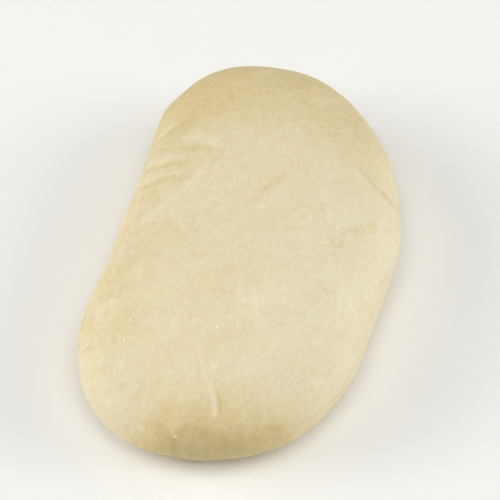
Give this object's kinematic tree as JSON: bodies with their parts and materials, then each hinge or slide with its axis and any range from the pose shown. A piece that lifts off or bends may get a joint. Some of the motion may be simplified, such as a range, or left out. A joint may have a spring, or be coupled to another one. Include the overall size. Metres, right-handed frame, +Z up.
{
  "type": "panini roll",
  "caption": "Plump oval bread roll, pale and unbrowned, with a smooth soft skin, a gently flattened side and a flat base.",
  "frame": {"origin": "centre of the roll's bounding box, on the plane of its flat base", "axes": "+X along the roll's length, towards its slightly slimmer end; +Y across it, towards the side pressed flat by the next roll; +Z up out of the crown"},
  "size_m": [0.152, 0.094, 0.05],
  "materials": {
    "dough_skin": "matte"
  },
  "bodies": {
    "root": {"roll": "dough_skin"}
  },
  "joints": []
}
